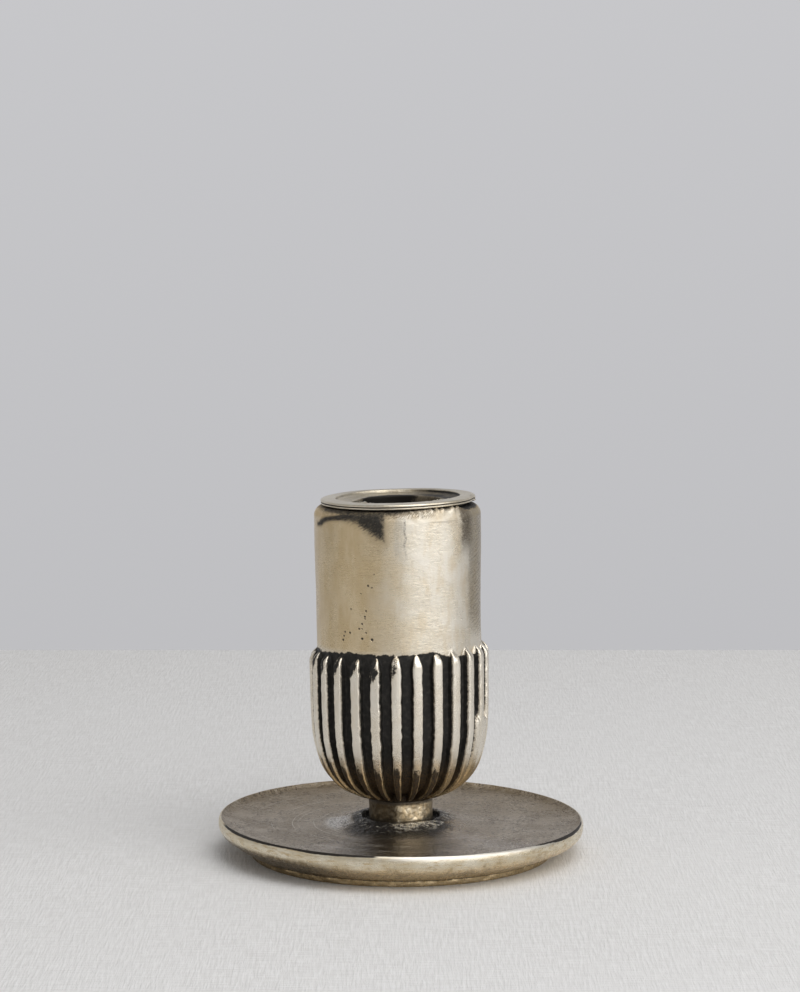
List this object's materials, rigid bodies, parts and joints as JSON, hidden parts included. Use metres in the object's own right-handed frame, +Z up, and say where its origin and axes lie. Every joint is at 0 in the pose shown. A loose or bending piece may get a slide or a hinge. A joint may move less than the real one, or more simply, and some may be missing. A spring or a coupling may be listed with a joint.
{
  "type": "candlestick",
  "caption": "Low candlestick with a round drip dish, a short neck and a reeded cup below a plain sleeve, carrying a flanged lift-out candle socket.",
  "frame": {"origin": "centre of the foot ring's contact face, on the table", "axes": "+Z up along the turned axis, -Y towards the side that was seen"},
  "size_m": [0.09, 0.09, 0.0886],
  "materials": {
    "turned_brass": "turned, dull, tarnished",
    "cast_brass": "rough cast",
    "aged_brass": "brushed, patinated",
    "polished_brass": "worn polish",
    "zinc_steel": "zinc plated",
    "spring_steel": "blackened"
  },
  "bodies": {
    "holder": {"base_dish": "turned_brass", "neck_collar": "cast_brass", "fluted_body": "aged_brass", "tie_stud": "zinc_steel", "hex_nut": "zinc_steel", "flat_washer": "zinc_steel", "spring_washer": "spring_steel"},
    "socket": {"candle_socket": "polished_brass"}
  },
  "joints": [
    {"name": "socket_lift", "type": "slide", "parent": "holder", "child": "socket", "axis": [0, 0, 1], "range_m": [0, 0.03]}
  ]
}
